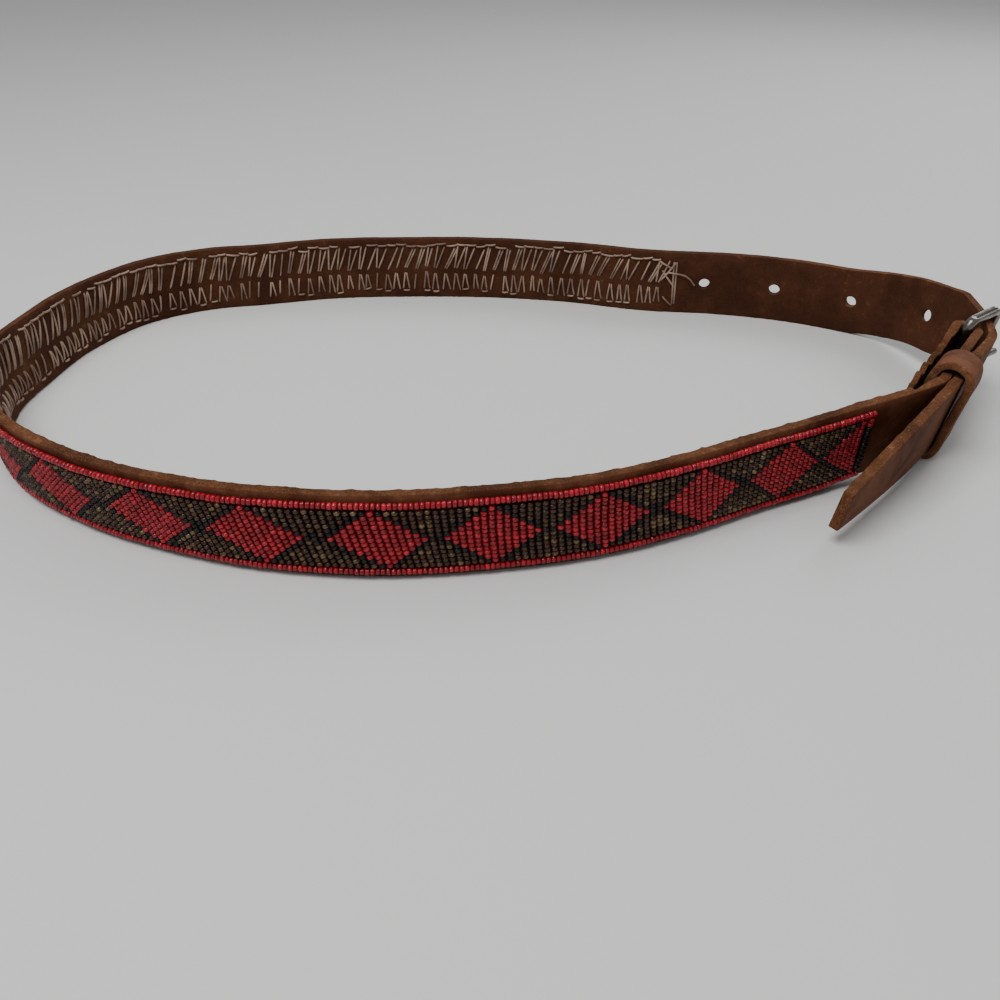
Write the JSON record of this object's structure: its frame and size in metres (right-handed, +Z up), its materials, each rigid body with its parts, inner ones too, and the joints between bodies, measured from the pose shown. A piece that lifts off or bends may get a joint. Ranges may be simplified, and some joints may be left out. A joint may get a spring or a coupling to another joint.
{
  "type": "beaded leather belt",
  "caption": "Narrow leather waist belt with a woven seed-bead panel, prong buckle and leather keeper, fastened into a loop and standing on its edge.",
  "frame": {"origin": "on the ground under the middle of the fastened belt's bounding box", "axes": "+X towards the buckle along the loop's longer side, +Y from the beaded near side to the far side, +Z up across the strap's width"},
  "size_m": [0.3428, 0.2044, 0.0336],
  "materials": {
    "strap_leather": "dark brown vegetable-tanned leather, satin grain outside, rough flesh side inside, tan fibrous cut edges",
    "keeper_leather": "reddish brown smooth leather",
    "nickel": "worn nickel plate with dark grooves",
    "bronze_beads": "lustrous bronze and black seed beads, opaque in mass",
    "red_beads": "opaque red glass seed beads, glossy"
  },
  "bodies": {
    "root": {"strap": "strap_leather", "keeper": "keeper_leather", "buckle_frame": "nickel", "buckle_tongue": "nickel", "bead_field": "bronze_beads", "bead_row_upper": "red_beads", "bead_row_lower": "red_beads", "bead_row_buckle_end": "red_beads", "bead_row_hole_end": "red_beads"}
  },
  "joints": []
}
